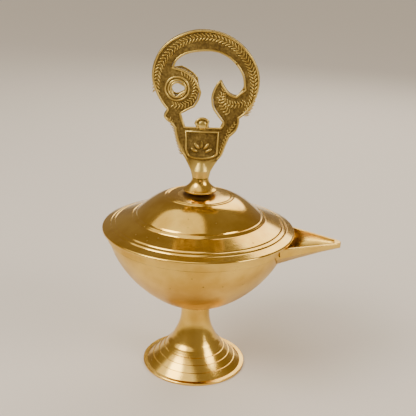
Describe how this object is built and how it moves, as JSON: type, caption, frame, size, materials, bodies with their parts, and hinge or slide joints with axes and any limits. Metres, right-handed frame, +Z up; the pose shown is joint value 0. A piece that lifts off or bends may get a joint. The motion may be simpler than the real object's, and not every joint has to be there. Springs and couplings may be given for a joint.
{
  "type": "covered oil lamp",
  "caption": "Round footed brass oil lamp with a beak spout, a lift-off domed lid and a flat ring finial.",
  "frame": {"origin": "centre of the lamp's box at the level it stands on, 10.95 mm from the axis of foot, bowl and lid towards the spout", "axes": "+Z up along the axis of foot, bowl and lid, +X out through the tip of the spout"},
  "size_m": [0.1138, 0.092, 0.1652],
  "materials": {
    "polished_brass": "polished",
    "turned_brass": "satin",
    "cast_brass": "antique"
  },
  "bodies": {
    "base": {"foot": "polished_brass", "foot_screw": "turned_brass", "foot_nut": "turned_brass", "bowl": "turned_brass", "spout": "polished_brass"},
    "cover": {"lid": "polished_brass", "lid_ring": "turned_brass", "lid_washer": "turned_brass", "lid_nut": "turned_brass", "lid_collar": "polished_brass", "collar_pin": "turned_brass", "lid_screw": "turned_brass", "finial": "cast_brass"}
  },
  "joints": [
    {"name": "lid_lift", "type": "slide", "parent": "base", "child": "cover", "axis": [0, 0, 1], "range_m": [0, 0.08]}
  ]
}
